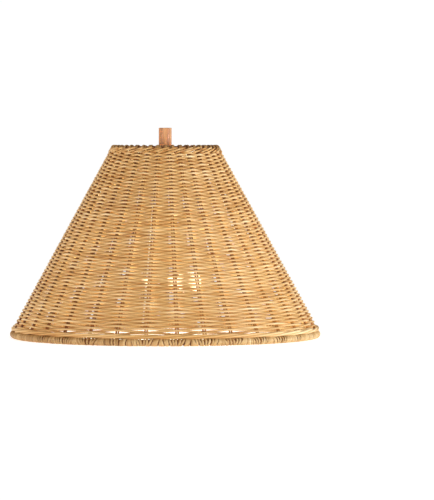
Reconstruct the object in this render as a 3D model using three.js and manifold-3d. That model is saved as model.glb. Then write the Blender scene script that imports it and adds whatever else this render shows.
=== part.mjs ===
// A round woven rattan lamp shade for a floor lamp: a tapered wall of rattan core woven over pairs of
// upright stakes, on a welded wire frame with a three-arm fitter, clamped to the lamp by a wooden finial.
// Millimetres, +Z up. The origin is on the shade's axis, in the plane that its bottom rim stands on.
// An azimuth is measured from the front (-Y) towards +X.

import * as THREE from "three";
import { mergeVertices } from "three/addons/utils/BufferGeometryUtils.js";
import Module from "manifold-3d";

// ---------------------------------------------------------------- driving dimensions

const RIM_DIAMETER = 457; // across the bottom roll
const TOP_DIAMETER = 159; // across the top roll
const SHADE_HEIGHT = 282.6; // from the rim's foot to the top of the top roll

const BOTTOM_ROLL_RADIUS = 5.5; // cane wrapped round the ring and the stake ends
const TOP_ROLL_RADIUS = 3.9;
const BOTTOM_WALL_RADIUS = 226.3; // middle of the woven wall, level with the bottom roll's centre
const TOP_WALL_RADIUS = 76.2; // the same, level with the top roll's centre

const STAKES = 33; // an odd number, so that one weaver can run round and round
const STAKE_PHASE = THREE.MathUtils.degToRad(3.7); // azimuth of the stake nearest the front
const REED_RADIUS = 1.6; // each stake is two reeds side by side
const REED_SPACING = 3.1;
const WEAVER_DIAMETER = 2.8;

const BOTTOM_WIRE_RADIUS = 2;
const TOP_WIRE_RADIUS = 1.5;
const RIBS = 6;
const RIB_RADIUS = 1.25;
const ARMS = 3;
const ARM_RADIUS = 1.6;

const HUB_DROP = 12; // the fitter's hub sits this far below the top roll's centre
const HUB_THICKNESS = 2;
const HUB_RADIUS = 13;
const HUB_HOLE_RADIUS = 5.6;

const FINIAL_RADIUS = 9.5;
const FINIAL_LENGTH = 40;
const FINIAL_CHAMFER = 0.8;
const INSERT_RADIUS = 4.75;
const INSERT_BORE_RADIUS = 3.175;
const INSERT_DEPTH = 12; // how far the insert stands in the wood
const WASHER_RADIUS = 8.5;
const WASHER_THICKNESS = 1.2;

const GAP = 0.3; // between pieces that touch on the real shade
const TURN_SEGMENTS = 2 * STAKES; // facets round the shade
const ROLL_SIDES = 8; // facets round a roll or an arm
const WIRE_SIDES = 6; // facets round a ring or a rib

// ---------------------------------------------------------------- the wall's line

const BOTTOM_LEVEL = BOTTOM_ROLL_RADIUS;
const TOP_LEVEL = SHADE_HEIGHT - TOP_ROLL_RADIUS;
const LEAN = Math.atan2(BOTTOM_WALL_RADIUS - TOP_WALL_RADIUS, TOP_LEVEL - BOTTOM_LEVEL);
const WALL_LENGTH = (TOP_LEVEL - BOTTOM_LEVEL) / Math.cos(LEAN);
const WALL_HALF = REED_RADIUS + WEAVER_DIAMETER; // half the wall's thickness

// Radius of the wall's middle at a height.
const wallRadius = (z) => BOTTOM_WALL_RADIUS - (z - BOTTOM_LEVEL) * Math.tan(LEAN);

// The point on a section through the axis that is "along" up the slope from the bottom level and
// "inward" from the wall's middle, square to the slope. It has x as the radius and y as the height.
const sectionPoint = (along, inward) =>
  new THREE.Vector2(
    BOTTOM_WALL_RADIUS - along * Math.sin(LEAN) - inward * Math.cos(LEAN),
    BOTTOM_LEVEL + along * Math.cos(LEAN) - inward * Math.sin(LEAN),
  );

// ---------------------------------------------------------------- small tools

const wasm = await Module();
wasm.setup();

// A closed geometry as a manifold-3d solid.
function solid(geometry) {
  const bare = geometry.index ? geometry.toNonIndexed() : geometry.clone();
  bare.deleteAttribute("normal");
  bare.deleteAttribute("uv");
  const merged = mergeVertices(bare, 1e-4);
  return new wasm.Manifold(
    new wasm.Mesh({
      numProp: 3,
      vertProperties: merged.attributes.position.array,
      triVerts: new Uint32Array(merged.index.array),
    }),
  );
}

// A manifold-3d solid as a geometry.
function geometryOf(made) {
  const mesh = made.getMesh();
  const geometry = new THREE.BufferGeometry();
  geometry.setAttribute("position", new THREE.BufferAttribute(mesh.vertProperties, 3));
  geometry.setIndex(new THREE.BufferAttribute(mesh.triVerts, 1));
  geometry.computeVertexNormals();
  return geometry;
}

// A body less several others.
const cut = (geometry, cutters) =>
  geometryOf(cutters.map(solid).reduce((left, cutter) => left.subtract(cutter), solid(geometry)));

// A regular polygon as a list of points, with a flat side level at its bottom. Its flats are at the radius.
const polygon = (radius, sides, centre = new THREE.Vector2()) =>
  Array.from({ length: sides }, (_, i) => {
    const angle = ((i + 0.5) / sides) * 2 * Math.PI - Math.PI / 2;
    const corner = radius / Math.cos(Math.PI / sides);
    return new THREE.Vector2(centre.x + corner * Math.cos(angle), centre.y + corner * Math.sin(angle));
  });

// A closed outline of (radius, height) points turned round the Z axis.
function turned(outline, segments = TURN_SEGMENTS) {
  return new THREE.LatheGeometry([...outline, outline[0]], segments, STAKE_PHASE).rotateX(Math.PI / 2);
}

// An outline extruded along +Z from the origin.
const bar = (outline, length) =>
  new THREE.ExtrudeGeometry(new THREE.Shape(outline), { depth: length, bevelEnabled: false, steps: 1 });

// The turn that lays a bar's +Z up the front of the wall, with +Y pointing square into the shade.
const upTheWall = (along) =>
  new THREE.Matrix4()
    .makeTranslation(0, -sectionPoint(along, 0).x, sectionPoint(along, 0).y)
    .multiply(new THREE.Matrix4().makeRotationX(-LEAN));

// A mesh in its own material, which takes its name and lies where the matrix puts it.
function part(name, geometry, material, matrix) {
  const mesh = new THREE.Mesh(geometry, material);
  mesh.name = name;
  if (matrix) {
    mesh.applyMatrix4(matrix);
  }
  return mesh;
}

// Copies made by a function of the number, each in a group turned to its own azimuth.
function roundTheAxis(count, start, make) {
  const ring = new THREE.Group();
  for (let i = 0; i < count; i++) {
    const place = new THREE.Group();
    place.rotation.z = start + (i / count) * 2 * Math.PI;
    place.add(make(String(i + 1).padStart(2, "0")));
    ring.add(place);
  }
  return ring;
}

// Cutters at each of those azimuths.
const cuttersRound = (count, start, geometry) =>
  Array.from({ length: count }, (_, i) => geometry.clone().rotateZ(start + (i / count) * 2 * Math.PI));

// ---------------------------------------------------------------- materials

const finish = (color, roughness, metalness = 0) =>
  new THREE.MeshStandardMaterial({ color, roughness, metalness });

const weaverRattan = finish(0xdcb27a, 0.55);
const stakeRattan = finish(0xc99a62, 0.6);
const wrapCane = finish(0xd2a96c, 0.5);
const frameWire = finish(0xd8d2c4, 0.45, 0.4);
const beech = finish(0xd39b6c, 0.5);
const brass = finish(0xc9a24c, 0.3, 1);

// ---------------------------------------------------------------- stakes

const STAKE_FOOT = 1.5; // along the wall, from the bottom level
const STAKE_HEAD = WALL_LENGTH - 0.6;

// The outline of two touching reeds, each most of a circle, that meet at a narrow waist.
function reedPairOutline() {
  const middle = REED_SPACING / 2;
  const waist = Math.acos(middle / REED_RADIUS);
  const arc = (side, from) =>
    Array.from({ length: 6 }, (_, i) => {
      const angle = from + waist + (i / 5) * (2 * Math.PI - 2 * waist);
      return new THREE.Vector2(
        side * middle + REED_RADIUS * Math.cos(angle),
        REED_RADIUS * Math.sin(angle),
      );
    });
  return [...arc(1, -Math.PI).slice(0, -1), ...arc(-1, 0).slice(0, -1)];
}

// The room that a stake needs, as a rectangle across it.
const stakeRoom = (inward = REED_RADIUS + GAP) => {
  const half = REED_SPACING / 2 + REED_RADIUS + GAP;
  const outward = REED_RADIUS + GAP;
  return [
    new THREE.Vector2(-half, -outward),
    new THREE.Vector2(half, -outward),
    new THREE.Vector2(half, inward),
    new THREE.Vector2(-half, inward),
  ];
};

const stakes = () => {
  const geometry = bar(reedPairOutline(), STAKE_HEAD - STAKE_FOOT);
  return roundTheAxis(STAKES, STAKE_PHASE, (number) =>
    part(`stake_${number}`, geometry, stakeRattan, upTheWall(STAKE_FOOT)),
  );
};

// ---------------------------------------------------------------- woven wall

const WALE_HEIGHT = 5.4; // two rounds of the twisted wale
const BOTTOM_WALE_FOOT = 2 * BOTTOM_ROLL_RADIUS + 2 * GAP;
const TOP_WALE_HEAD = SHADE_HEIGHT - 2 * TOP_ROLL_RADIUS - 2 * GAP;

// A round of the wall between two heights, with a tunnel for each stake.
function wallBand(foot, head) {
  const across = WALL_HALF / Math.cos(LEAN);
  const outline = [
    new THREE.Vector2(wallRadius(foot) - across, foot),
    new THREE.Vector2(wallRadius(foot) + across, foot),
    new THREE.Vector2(wallRadius(head) + across, head),
    new THREE.Vector2(wallRadius(head) - across, head),
  ];
  const tunnel = bar(stakeRoom(), WALL_LENGTH).applyMatrix4(upTheWall(0));
  return cut(turned(outline), cuttersRound(STAKES, STAKE_PHASE, tunnel));
}

const wall = () => {
  const group = new THREE.Group();
  const waleTop = BOTTOM_WALE_FOOT + WALE_HEIGHT;
  const waleFoot = TOP_WALE_HEAD - WALE_HEIGHT;
  group.add(part("bottom_wale", wallBand(BOTTOM_WALE_FOOT, waleTop), weaverRattan));
  group.add(part("woven_wall", wallBand(waleTop + GAP, waleFoot - GAP), weaverRattan));
  group.add(part("top_wale", wallBand(waleFoot, TOP_WALE_HEAD), weaverRattan));
  return group;
};

// ---------------------------------------------------------------- wire frame

const BOTTOM_WIRE = sectionPoint(1.2, 4.3);
const TOP_WIRE = sectionPoint(WALL_LENGTH + 1.4, 1.5);
const RIB_INWARD = 6.3; // a rib's centre lies this far inside the wall's middle
const RIB_FOOT = 3.7; // just above the bottom wire, along the wall
const RIB_HEAD = WALL_LENGTH + 1.5;
const RIB_PHASE = STAKE_PHASE + Math.PI / STAKES; // midway between two stakes
const ARM_PHASE = Math.PI; // the first arm points to the back

const HUB_TOP = TOP_LEVEL - HUB_DROP;
const ARM_START = TOP_WIRE.x - TOP_WIRE_RADIUS - 0.4;

const ribOutline = (radius) => polygon(radius, WIRE_SIDES, new THREE.Vector2(0, RIB_INWARD));

// An S-shaped wire from the top wire's level down to the hub's, as the path of its centre.
const armPath = new THREE.CubicBezierCurve3(
  new THREE.Vector3(0, -ARM_START, TOP_WIRE.y),
  new THREE.Vector3(0, -0.62 * ARM_START, TOP_WIRE.y),
  new THREE.Vector3(0, -0.55 * ARM_START, HUB_TOP - HUB_THICKNESS / 2),
  new THREE.Vector3(0, -HUB_RADIUS - GAP, HUB_TOP - HUB_THICKNESS / 2),
);

const armGeometry = () =>
  new THREE.ExtrudeGeometry(new THREE.Shape(polygon(ARM_RADIUS, ROLL_SIDES)), {
    extrudePath: armPath,
    steps: 14,
    bevelEnabled: false,
  });

const hubOutline = [
  new THREE.Vector2(HUB_HOLE_RADIUS, HUB_TOP - HUB_THICKNESS),
  new THREE.Vector2(HUB_RADIUS, HUB_TOP - HUB_THICKNESS),
  new THREE.Vector2(HUB_RADIUS, HUB_TOP),
  new THREE.Vector2(HUB_HOLE_RADIUS, HUB_TOP),
];

const frame = () => {
  const group = new THREE.Group();
  group.add(part("bottom_ring", turned(polygon(BOTTOM_WIRE_RADIUS, WIRE_SIDES, BOTTOM_WIRE)), frameWire));
  group.add(part("top_ring", turned(polygon(TOP_WIRE_RADIUS, WIRE_SIDES, TOP_WIRE)), frameWire));
  const rib = bar(ribOutline(RIB_RADIUS), RIB_HEAD - RIB_FOOT);
  group.add(
    roundTheAxis(RIBS, RIB_PHASE, (number) =>
      part(`frame_rib_${number}`, rib, frameWire, upTheWall(RIB_FOOT)),
    ),
  );
  const arm = armGeometry();
  group.add(roundTheAxis(ARMS, ARM_PHASE, (number) => part(`fitter_arm_${number}`, arm, frameWire)));
  group.add(part("fitter_hub", turned(hubOutline, 24), frameWire));
  return group;
};

// ---------------------------------------------------------------- wrapped rolls


// Pockets in a roll for the stake ends, between two distances along the wall.
const stakePockets = (from, to, inward) =>
  cuttersRound(STAKES, STAKE_PHASE, bar(stakeRoom(inward), to - from).applyMatrix4(upTheWall(from)));

// Pockets in a roll for the rib ends, between two distances along the wall.
const ribPockets = (from, to) =>
  cuttersRound(
    RIBS,
    RIB_PHASE,
    bar(ribOutline(RIB_RADIUS + GAP), to - from).applyMatrix4(upTheWall(from)),
  );

function bottomRoll() {
  const centre = new THREE.Vector2(RIM_DIAMETER / 2 - BOTTOM_ROLL_RADIUS, BOTTOM_LEVEL);
  return cut(turned(polygon(BOTTOM_ROLL_RADIUS, ROLL_SIDES, centre)), [
    turned(polygon(BOTTOM_WIRE_RADIUS + GAP, WIRE_SIDES, BOTTOM_WIRE)),
    ...stakePockets(STAKE_FOOT - GAP, STAKE_FOOT + 4 * BOTTOM_ROLL_RADIUS, 2.6),
    ...ribPockets(RIB_FOOT - GAP, RIB_FOOT + BOTTOM_ROLL_RADIUS),
  ]);
}

function topRoll() {
  const centre = new THREE.Vector2(TOP_DIAMETER / 2 - TOP_ROLL_RADIUS, TOP_LEVEL);
  const armRoom = bar(polygon(ARM_RADIUS + GAP, ROLL_SIDES), 10)
    .rotateX(-Math.PI / 2)
    .translate(0, -ARM_START - GAP, TOP_WIRE.y);
  return cut(turned(polygon(TOP_ROLL_RADIUS, ROLL_SIDES, centre)), [
    turned(polygon(TOP_WIRE_RADIUS + GAP, WIRE_SIDES, TOP_WIRE)),
    ...stakePockets(STAKE_HEAD - 3 * TOP_ROLL_RADIUS, STAKE_HEAD + GAP),
    ...ribPockets(RIB_HEAD - 3 * TOP_ROLL_RADIUS, RIB_HEAD + GAP),
    ...cuttersRound(ARMS, ARM_PHASE, armRoom),
  ]);
}

const rolls = () => {
  const group = new THREE.Group();
  group.add(part("bottom_roll", bottomRoll(), wrapCane));
  group.add(part("top_roll", topRoll(), wrapCane));
  return group;
};

// ---------------------------------------------------------------- finial

const FINIAL_SEGMENTS = 24;
const WASHER_FOOT = HUB_TOP + GAP;
const FINIAL_FOOT = WASHER_FOOT + WASHER_THICKNESS + GAP;
const FINIAL_HEAD = FINIAL_FOOT + FINIAL_LENGTH;

const finialOutline = [
  new THREE.Vector2(INSERT_RADIUS + GAP, FINIAL_FOOT),
  new THREE.Vector2(FINIAL_RADIUS - FINIAL_CHAMFER, FINIAL_FOOT),
  new THREE.Vector2(FINIAL_RADIUS, FINIAL_FOOT + FINIAL_CHAMFER),
  new THREE.Vector2(FINIAL_RADIUS, FINIAL_HEAD - FINIAL_CHAMFER),
  new THREE.Vector2(FINIAL_RADIUS - FINIAL_CHAMFER, FINIAL_HEAD),
  new THREE.Vector2(0, FINIAL_HEAD),
  new THREE.Vector2(0, FINIAL_FOOT + INSERT_DEPTH + GAP),
  new THREE.Vector2(INSERT_RADIUS + GAP, FINIAL_FOOT + INSERT_DEPTH + GAP),
];

// A plain tube's outline between two radii and two heights.
const tube = (inner, outer, foot, head) => [
  new THREE.Vector2(inner, foot),
  new THREE.Vector2(outer, foot),
  new THREE.Vector2(outer, head),
  new THREE.Vector2(inner, head),
];

const finial = () => {
  const group = new THREE.Group();
  const insert = tube(INSERT_BORE_RADIUS, INSERT_RADIUS, WASHER_FOOT, FINIAL_FOOT + INSERT_DEPTH);
  const washer = tube(
    INSERT_RADIUS + GAP,
    WASHER_RADIUS,
    WASHER_FOOT,
    WASHER_FOOT + WASHER_THICKNESS,
  );
  group.add(part("finial_body", turned(finialOutline, FINIAL_SEGMENTS), beech));
  group.add(part("finial_insert", turned(insert, FINIAL_SEGMENTS), brass));
  group.add(part("finial_washer", turned(washer, FINIAL_SEGMENTS), brass));
  return group;
};

// ---------------------------------------------------------------- the shade

const shade = new THREE.Group();
shade.name = "woven_lamp_shade";
shade.add(stakes(), wall(), frame(), rolls(), finial());

export default shade;
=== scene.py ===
# %% [markdown]
# # A woven rattan lamp shade
#
# This is the shade of a floor lamp. Rattan core, the soft inside of the rattan palm's stem, is soaked and
# woven round thirty-three upright stakes, each of them two reeds side by side. Cane is wound round both
# rims, over a ring of steel wire, and six thin wires hold the rings apart. Three arms carry a hub at the
# top, and a small turned finial screws down on it to clamp the shade to the lamp.
#
# Nearly all of it is strands that follow a rule, so one Geometry Nodes recipe makes the strands and a short
# list of sums says where each of them runs.

import math

import bmesh
import bpy
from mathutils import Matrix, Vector


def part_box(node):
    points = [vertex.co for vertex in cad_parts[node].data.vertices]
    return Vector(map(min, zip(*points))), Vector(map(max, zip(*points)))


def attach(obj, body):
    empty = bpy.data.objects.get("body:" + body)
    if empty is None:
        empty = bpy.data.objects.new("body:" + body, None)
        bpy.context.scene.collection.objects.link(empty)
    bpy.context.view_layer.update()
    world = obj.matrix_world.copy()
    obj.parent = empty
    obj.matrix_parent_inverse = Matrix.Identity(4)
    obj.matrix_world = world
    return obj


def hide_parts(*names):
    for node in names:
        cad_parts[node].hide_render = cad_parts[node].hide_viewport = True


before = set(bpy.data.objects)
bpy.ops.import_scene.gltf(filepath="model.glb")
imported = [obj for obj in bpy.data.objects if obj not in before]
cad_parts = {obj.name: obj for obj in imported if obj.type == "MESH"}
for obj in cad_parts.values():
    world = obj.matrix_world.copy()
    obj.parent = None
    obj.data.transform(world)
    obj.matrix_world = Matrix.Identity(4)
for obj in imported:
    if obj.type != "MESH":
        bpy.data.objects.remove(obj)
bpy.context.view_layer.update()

# %% [markdown]
# ## The camera
#
# A camera far away with a long lens gives a flat, calm look with hardly any perspective: here it is 4.7 m
# away and level with the top rim. It is turned a little to the right and down, so that the shade sits high
# on the left of the frame and there is room under it.

# %% Camera
CAMERA_DISTANCE = 4.7
LONG_SIDE_VIEW = 0.7359  # metres that the frame's long side covers, at the shade's axis
AIM_RIGHT = 0.0762
AIM_DOWN = 0.1501

camera_data = bpy.data.cameras.new("camera")
camera = bpy.data.objects.new("camera", camera_data)
bpy.context.scene.collection.objects.link(camera)
bpy.context.scene.camera = camera
camera_data.lens = camera_data.sensor_width * CAMERA_DISTANCE / LONG_SIDE_VIEW
top_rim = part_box("top_roll")
eye_level = (top_rim[0][2] + top_rim[1][2]) / 2
camera.location = (0, -CAMERA_DISTANCE, eye_level)
aim = Vector((AIM_RIGHT, 0, eye_level - AIM_DOWN))
camera.rotation_euler = (aim - camera.location).to_track_quat("-Z", "Y").to_euler()
print("camera at", tuple(round(v, 3) for v in camera.location), "lens", round(camera_data.lens, 1), "mm")

# %% [markdown]
# ## Small tools
#
# `linear` turns a hex colour, as a paint chart gives it, into the linear light that Blender works in.
# `add` puts one node in a tree, with its settings and its links, and it serves materials and Geometry
# Nodes alike. So does `work_out`, which adds the nodes for a whole list of sums. Each line of the list
# gives a name to the result of one Math node, and may use numbers and the names before it. NOISE makes
# smooth random change from 0 to 1 instead, the same on every run, because it has no seed but its place.
# STRAY is the same less a half, so it strays to both sides of nothing. IS only gives a name to a number,
# or a second name to a result.

# %% Tools for colours and nodes
def linear(hex_colour):
    """An sRGB hex colour as linear red, green, blue and alpha."""
    channels = [int(hex_colour[i : i + 2], 16) / 255 for i in (1, 3, 5)]
    curve = [c / 12.92 if c <= 0.04045 else ((c + 0.055) / 1.055) ** 2.4 for c in channels]
    return (*curve, 1)


def add(tree, kind, inputs=None, **settings):
    """Adds a node. An input given as a socket is linked, and any other is set."""
    node = tree.nodes.new(kind)
    for name, value in settings.items():
        setattr(node, name, value)
    for key, value in (inputs or {}).items():
        if isinstance(value, bpy.types.NodeSocket):
            tree.links.new(value, node.inputs[key])
        else:
            node.inputs[key].default_value = value
    return node


def work_out(tree, values, rule):
    """Adds the nodes for a list of sums, and keeps every result by its name."""
    for name, operation, *terms in rule:
        sockets = {i: values.get(term, term) for i, term in enumerate(terms)}
        if operation == "IS":
            values[name] = sockets[0]
            continue
        if operation in ("NOISE", "STRAY"):
            place = add(tree, "ShaderNodeCombineXYZ", sockets)
            noise = {"Vector": place.outputs[0], "Scale": 1.0, "Detail": 1.0}
            made = add(tree, "ShaderNodeTexNoise", noise)
            if operation == "STRAY":
                made = add(tree, "ShaderNodeMath", {0: made.outputs[0], 1: 0.5}, operation="SUBTRACT")
        else:
            made = add(tree, "ShaderNodeMath", sockets, operation=operation)
        values[name] = made.outputs[0]


# %% [markdown]
# ## Rattan
#
# Rattan core is the pith of the stem, drawn through a round die. It has long fine fibres, no grain rings
# and a dry satin face, and its colour wanders from cream to honey along each length and from one length
# to the next. Every strand here carries two attributes that its tree stored: `tone`, from dark to light,
# and `grain`, a place in the strand itself. One unit of `grain` is 1 mm across the strand but 40 mm along
# it, so noise on it makes fibres that follow the strand wherever it bends: at a scale of 5 they are
# 0.2 mm wide and 8 mm long, and at 0.35 they are blotches 3 mm wide and 110 mm long.

# %% Rattan and cane materials
FIBRE_SCALE = 5.0
BLOTCH_SCALE = 0.35
FIBRE_TONE = 0.5
BLOTCH_TONE = 0.5


def new_material(name):
    """An empty node material and its tree, with a principled shader and an output in it."""
    material = bpy.data.materials.new(name)
    material.use_nodes = True
    tree = material.node_tree
    tree.nodes.clear()
    shader = add(tree, "ShaderNodeBsdfPrincipled")
    add(tree, "ShaderNodeOutputMaterial", {"Surface": shader.outputs["BSDF"]})
    return material, tree, shader


def set_ramp(ramp, stops):
    """Gives a colour ramp its stops, as pairs of place and hex colour."""
    elements = ramp.color_ramp.elements
    while len(elements) < len(stops):
        elements.new(0.5)
    for element, (place, colour) in zip(elements, stops):
        element.position = place
        element.color = linear(colour)


def rattan(name, stops, roughness, fibre_depth):
    """Rattan with a ramp of colours from its darkest to its lightest strands."""
    material, tree, shader = new_material(name)
    tone = add(tree, "ShaderNodeAttribute", attribute_name="tone")
    grain = add(tree, "ShaderNodeAttribute", attribute_name="grain")
    fibres = add(
        tree,
        "ShaderNodeTexNoise",
        {"Vector": grain.outputs["Vector"], "Scale": FIBRE_SCALE, "Detail": 4.0, "Roughness": 0.65},
    )
    blotches = add(
        tree,
        "ShaderNodeTexNoise",
        {"Vector": grain.outputs["Vector"], "Scale": BLOTCH_SCALE, "Detail": 2.0},
    )
    values = {
        "tone": tone.outputs["Fac"],
        "fibres": fibres.outputs["Fac"],
        "blotches": blotches.outputs["Fac"],
    }
    # Both noises average a half, so each is centred on nothing before it is added to the tone.
    work_out(
        tree,
        values,
        [
            ("streak", "MULTIPLY_ADD", "fibres", FIBRE_TONE, -FIBRE_TONE / 2),
            ("patch", "MULTIPLY_ADD", "blotches", BLOTCH_TONE, "streak"),
            ("mixed", "ADD", "tone", "patch"),
            ("centred", "SUBTRACT", "mixed", BLOTCH_TONE / 2),
        ],
    )
    ramp = add(tree, "ShaderNodeValToRGB", {"Fac": values["centred"]})
    set_ramp(ramp, stops)
    rough = add(
        tree,
        "ShaderNodeMapRange",
        {"Value": fibres.outputs["Fac"], "To Min": roughness - 0.1, "To Max": roughness + 0.12},
    )
    bump = add(
        tree,
        "ShaderNodeBump",
        {"Height": fibres.outputs["Fac"], "Strength": 0.6, "Distance": fibre_depth},
    )
    tree.links.new(ramp.outputs["Color"], shader.inputs["Base Color"])
    tree.links.new(rough.outputs["Result"], shader.inputs["Roughness"])
    tree.links.new(bump.outputs["Normal"], shader.inputs["Normal"])
    return material


# Cream to honey: bare core that has only dried, so it is pale, with a satin gloss where it bends outwards.
weaver_rattan = rattan(
    "rattan_core_woven",
    [(0.12, "#80481A"), (0.34, "#B67E3C"), (0.55, "#D2A362"), (0.78, "#E5BF86"), (0.95, "#F4DBB0")],
    0.46,
    0.00012,
)
# The same core in dark browns, as painted shade, so that the stakes show as dark dots between the weavers.
painted_shade_stakes = rattan(
    "rattan_core_stakes",
    [(0.12, "#4C2407"), (0.4, "#703A0D"), (0.65, "#8D501A"), (0.9, "#AC7231")],
    0.58,
    0.00012,
)
# Peel cane from the outside of the stem, wound wet and pulled tight: an even tan with a harder shine.
wrap_cane = rattan(
    "rattan_peel_wrap",
    [(0.12, "#7A4C1C"), (0.36, "#AE8148"), (0.6, "#CCA66D"), (0.85, "#E2C594")],
    0.44,
    0.00008,
)
print("rattan", [m.name for m in (weaver_rattan, painted_shade_stakes, wrap_cane)])

# %% [markdown]
# ## The strand recipe
#
# Weavers, stakes, wound cane and wire are all the same thing to a computer: a round section swept along a
# line of points. The recipe makes `Strands` times `Points` points, works out each one's azimuth, radius
# and height from a list of sums, joins them up into curves, and sweeps a circle along them.
#
# The list of sums is the part that changes. It may use the tree's own inputs, and `strand`, `point` and
# `share`, which say how far along its strand a point is.
#
# A rule has to give `azimuth`, `radius` and `height`, which place a point, and `tone` and `swell`, its
# colour and its thickness. Where it gives `face_x`, `face_y` and `face_z` too, a flat strand lies across
# that direction.

# %% The recipe for strands
COMMON_SIZES = {
    "Strands": 1,
    "Points": 100,
    "Sides": 8,
    "Closed": False,
    "Radius": 0.0014,
    "Flatness": 1.0,
    "Uneven": 0.0,
}
SOCKET_TYPES = {bool: "NodeSocketBool", int: "NodeSocketInt", float: "NodeSocketFloat"}
GRAIN_UNITS = (1000.0, 1000.0, 25.0)  # for each metre across a strand, through it and along it


def strand_tree(name, sizes, rule):
    """A tree that sweeps strands along the lines that a list of sums gives."""
    tree = bpy.data.node_groups.new(name, "GeometryNodeTree")
    tree.interface.new_socket(name="Strands", in_out="OUTPUT", socket_type="NodeSocketGeometry")
    for size, usual in {**COMMON_SIZES, **sizes}.items():
        kind = SOCKET_TYPES[type(usual)]
        socket = tree.interface.new_socket(name=size, in_out="INPUT", socket_type=kind)
        socket.default_value = usual
    tree.interface.new_socket(name="Material", in_out="INPUT", socket_type="NodeSocketMaterial")
    given = add(tree, "NodeGroupInput")
    values = {socket.name: socket for socket in given.outputs if socket.name}
    index = add(tree, "GeometryNodeInputIndex")
    values["index"] = index.outputs[0]
    work_out(
        tree,
        values,
        [
            ("all_points", "MULTIPLY", "Strands", "Points"),
            ("strand", "DIVIDE", "index", "Points"),
            ("strand", "FLOOR", "strand"),
            ("point", "MODULO", "index", "Points"),
            ("open", "SUBTRACT", 1.0, "Closed"),
            ("steps", "SUBTRACT", "Points", "open"),
            ("share", "DIVIDE", "point", "steps"),
            *rule,
            ("sine", "SINE", "azimuth"),
            ("cosine", "COSINE", "azimuth"),
            ("x", "MULTIPLY", "radius", "sine"),
            ("y", "MULTIPLY", "radius", "cosine"),
            ("y", "MULTIPLY", "y", -1.0),
            ("change", "SUBTRACT", "swell", 0.5),
            ("change", "MULTIPLY", "change", "Uneven"),
            ("size", "ADD", "change", 1.0),
        ],
    )
    place = add(tree, "ShaderNodeCombineXYZ", {0: values["x"], 1: values["y"], 2: values["height"]})
    cloud = {"Count": values["all_points"], "Position": place.outputs[0]}
    points = add(tree, "GeometryNodePoints", cloud)
    curves = add(
        tree,
        "GeometryNodePointsToCurves",
        {"Points": points.outputs[0], "Curve Group ID": values["strand"], "Weight": values["index"]},
    )
    joined = add(tree, "GeometryNodeSetSplineCyclic", {0: curves.outputs[0], "Cyclic": values["Closed"]})
    length = add(tree, "GeometryNodeSplineParameter")
    known = joined.outputs[0]
    if "face_x" in values:
        facing = {0: values["face_x"], 1: values["face_y"], 2: values["face_z"]}
        facing = add(tree, "ShaderNodeCombineXYZ", facing)
        turned_flat = add(tree, "GeometryNodeSetCurveNormal", {"Curve": known}, mode="FREE")
        tree.links.new(facing.outputs[0], turned_flat.inputs["Normal"])
        known = turned_flat.outputs[0]
    kept_values = {"along": length.outputs["Length"], "tone": values["tone"], "size": values["size"]}
    for attribute, value in kept_values.items():
        stored = {0: known, "Name": attribute, "Value": value}
        known = add(tree, "GeometryNodeStoreNamedAttribute", stored).outputs[0]
    ring = {"Resolution": values["Sides"], "Radius": values["Radius"]}
    circle = add(tree, "GeometryNodeCurvePrimitiveCircle", ring)
    oval = add(tree, "ShaderNodeCombineXYZ", {0: values["Flatness"], 1: 1.0, 2: 1.0})
    squeeze = {"Geometry": circle.outputs[0], "Scale": oval.outputs[0]}
    pressed = add(tree, "GeometryNodeTransform", squeeze)
    spot = add(tree, "GeometryNodeInputPosition")
    section = add(
        tree,
        "GeometryNodeStoreNamedAttribute",
        {0: pressed.outputs[0], "Name": "grain", "Value": spot.outputs[0]},
        data_type="FLOAT_VECTOR",
    )
    size = add(tree, "GeometryNodeInputNamedAttribute", {"Name": "size"})
    sweeping = {"Curve": known, "Profile Curve": section.outputs[0], "Scale": size.outputs[0]}
    swept = add(tree, "GeometryNodeCurveToMesh", {**sweeping, "Fill Caps": True})
    around = add(tree, "GeometryNodeInputNamedAttribute", {"Name": "grain"}, data_type="FLOAT_VECTOR")
    along = add(tree, "GeometryNodeInputNamedAttribute", {"Name": "along"})
    across = add(tree, "ShaderNodeSeparateXYZ", {0: around.outputs[0]})
    spot = {0: across.outputs[0], 1: across.outputs[1], 2: along.outputs[0]}
    spot = add(tree, "ShaderNodeCombineXYZ", spot)
    measure = {0: spot.outputs[0], 1: GRAIN_UNITS}
    grain = add(tree, "ShaderNodeVectorMath", measure, operation="MULTIPLY")
    kept = add(
        tree,
        "GeometryNodeStoreNamedAttribute",
        {0: swept.outputs[0], "Name": "grain", "Value": grain.outputs[0]},
        data_type="FLOAT_VECTOR",
    )
    smooth = add(tree, "GeometryNodeSetShadeSmooth", {0: kept.outputs[0]})
    real = add(tree, "GeometryNodeRealizeInstances", {0: smooth.outputs[0]})
    finished = add(tree, "GeometryNodeSetMaterial", {0: real.outputs[0], "Material": values["Material"]})
    add(tree, "NodeGroupOutput", {0: finished.outputs[0]})
    return tree


def sweep(name, tree, **sizes):
    """Runs a strand tree with its sizes, and returns the result as a plain mesh object."""
    host = bpy.data.objects.new("host", bpy.data.meshes.new("host"))
    bpy.context.scene.collection.objects.link(host)
    modifier = host.modifiers.new("strands", "NODES")
    modifier.node_group = tree
    inputs = [item for item in tree.interface.items_tree if item.in_out == "INPUT"]
    sockets = {item.name: item.identifier for item in inputs}
    for size, value in sizes.items():
        modifier[sockets[size.replace("_", " ")]] = value
    evaluated = host.evaluated_get(bpy.context.evaluated_depsgraph_get())
    mesh = bpy.data.meshes.new_from_object(evaluated)
    bpy.data.objects.remove(host)
    made = bpy.data.objects.new(name, mesh)
    mesh.name = name
    bpy.context.scene.collection.objects.link(made)
    print(name, len(mesh.polygons), "faces")
    return made


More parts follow.
